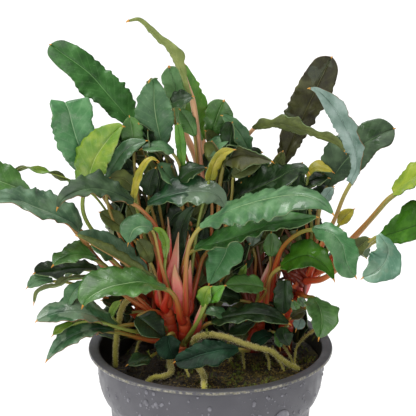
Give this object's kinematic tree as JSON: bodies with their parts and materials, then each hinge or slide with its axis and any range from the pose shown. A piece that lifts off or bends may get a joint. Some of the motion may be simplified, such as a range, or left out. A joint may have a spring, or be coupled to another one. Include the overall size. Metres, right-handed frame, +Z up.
{
  "type": "potted bucephalandra",
  "caption": "Bucephalandra, a leathery rosette water plant with wavy leaves on red stalks, rooted in a round nursery pot of soil.",
  "frame": {"origin": "centre of the pot's flat underside, which stands on the floor", "axes": "+Z up through the pot's axis, -Y towards the plant's front as pictured, +X to its right"},
  "size_m": [0.1814, 0.1003, 0.2056],
  "materials": {
    "pot_plastic": "satin",
    "soil_peat": "matte",
    "rhizome_bark": "satin",
    "sheath_pink": "satin",
    "root_fuzz": "matte",
    "leaf_green": "satin",
    "leaf_dark": "satin",
    "leaf_pale": "satin",
    "leaf_young": "satin"
  },
  "bodies": {
    "root": {"pot": "pot_plastic", "soil": "soil_peat", "rhizome_main": "rhizome_bark", "rhizome_left": "rhizome_bark", "rhizome_middle": "rhizome_bark", "rhizome_back_left": "rhizome_bark", "rhizome_back": "rhizome_bark", "rhizome_right": "rhizome_bark", "rhizome_far_right": "rhizome_bark", "sheath_tall": "sheath_pink", "sheath_short": "sheath_pink", "sheath_right": "sheath_pink", "root_long": "root_fuzz", "root_front": "root_fuzz", "root_bent": "root_fuzz", "root_left": "root_fuzz", "leaf_upper_left": "leaf_green", "leaf_left_folded_tip": "leaf_pale", "leaf_left_young": "leaf_young", "leaf_left_long": "leaf_pale", "leaf_left_far": "leaf_green", "leaf_left_twisted": "leaf_young", "leaf_left_low_green": "leaf_green", "leaf_left_low_dark": "leaf_dark", "leaf_shield": "leaf_pale", "leaf_top_behind": "leaf_green", "leaf_top_twisted": "leaf_young", "leaf_top_bright": "leaf_green", "leaf_top_right": "leaf_green", "leaf_rolled_margin": "leaf_dark", "leaf_arching": "leaf_green", "leaf_tall_dark": "leaf_dark", "leaf_white_midrib": "leaf_dark", "leaf_dark_drooping": "leaf_dark", "leaf_green_drooping": "leaf_green", "leaf_hanging_dark": "leaf_dark", "leaf_right_pale": "leaf_pale", "leaf_right_round": "leaf_dark", "leaf_right_bright": "leaf_young", "leaf_right_edge": "leaf_green", "leaf_right_crumpled": "leaf_pale", "leaf_over_rim": "leaf_green", "leaf_long_right": "leaf_pale", "leaf_long_right_lower": "leaf_green", "leaf_hanging_middle": "leaf_green", "leaf_left_waxy": "leaf_dark", "leaf_left_channel": "leaf_dark", "leaf_left_main": "leaf_green", "leaf_left_glossy": "leaf_dark", "leaf_low_left": "leaf_green", "leaf_round_dark": "leaf_dark", "leaf_round_small": "leaf_dark", "leaf_low_front": "leaf_dark", "leaf_grey_sheen": "leaf_pale", "leaf_low_middle": "leaf_dark", "leaf_rear_left": "leaf_green", "leaf_rear_low_left": "leaf_dark", "leaf_rear_middle": "leaf_green", "leaf_rear_right": "leaf_green", "leaf_rear_far_right": "leaf_dark"}
  },
  "joints": []
}
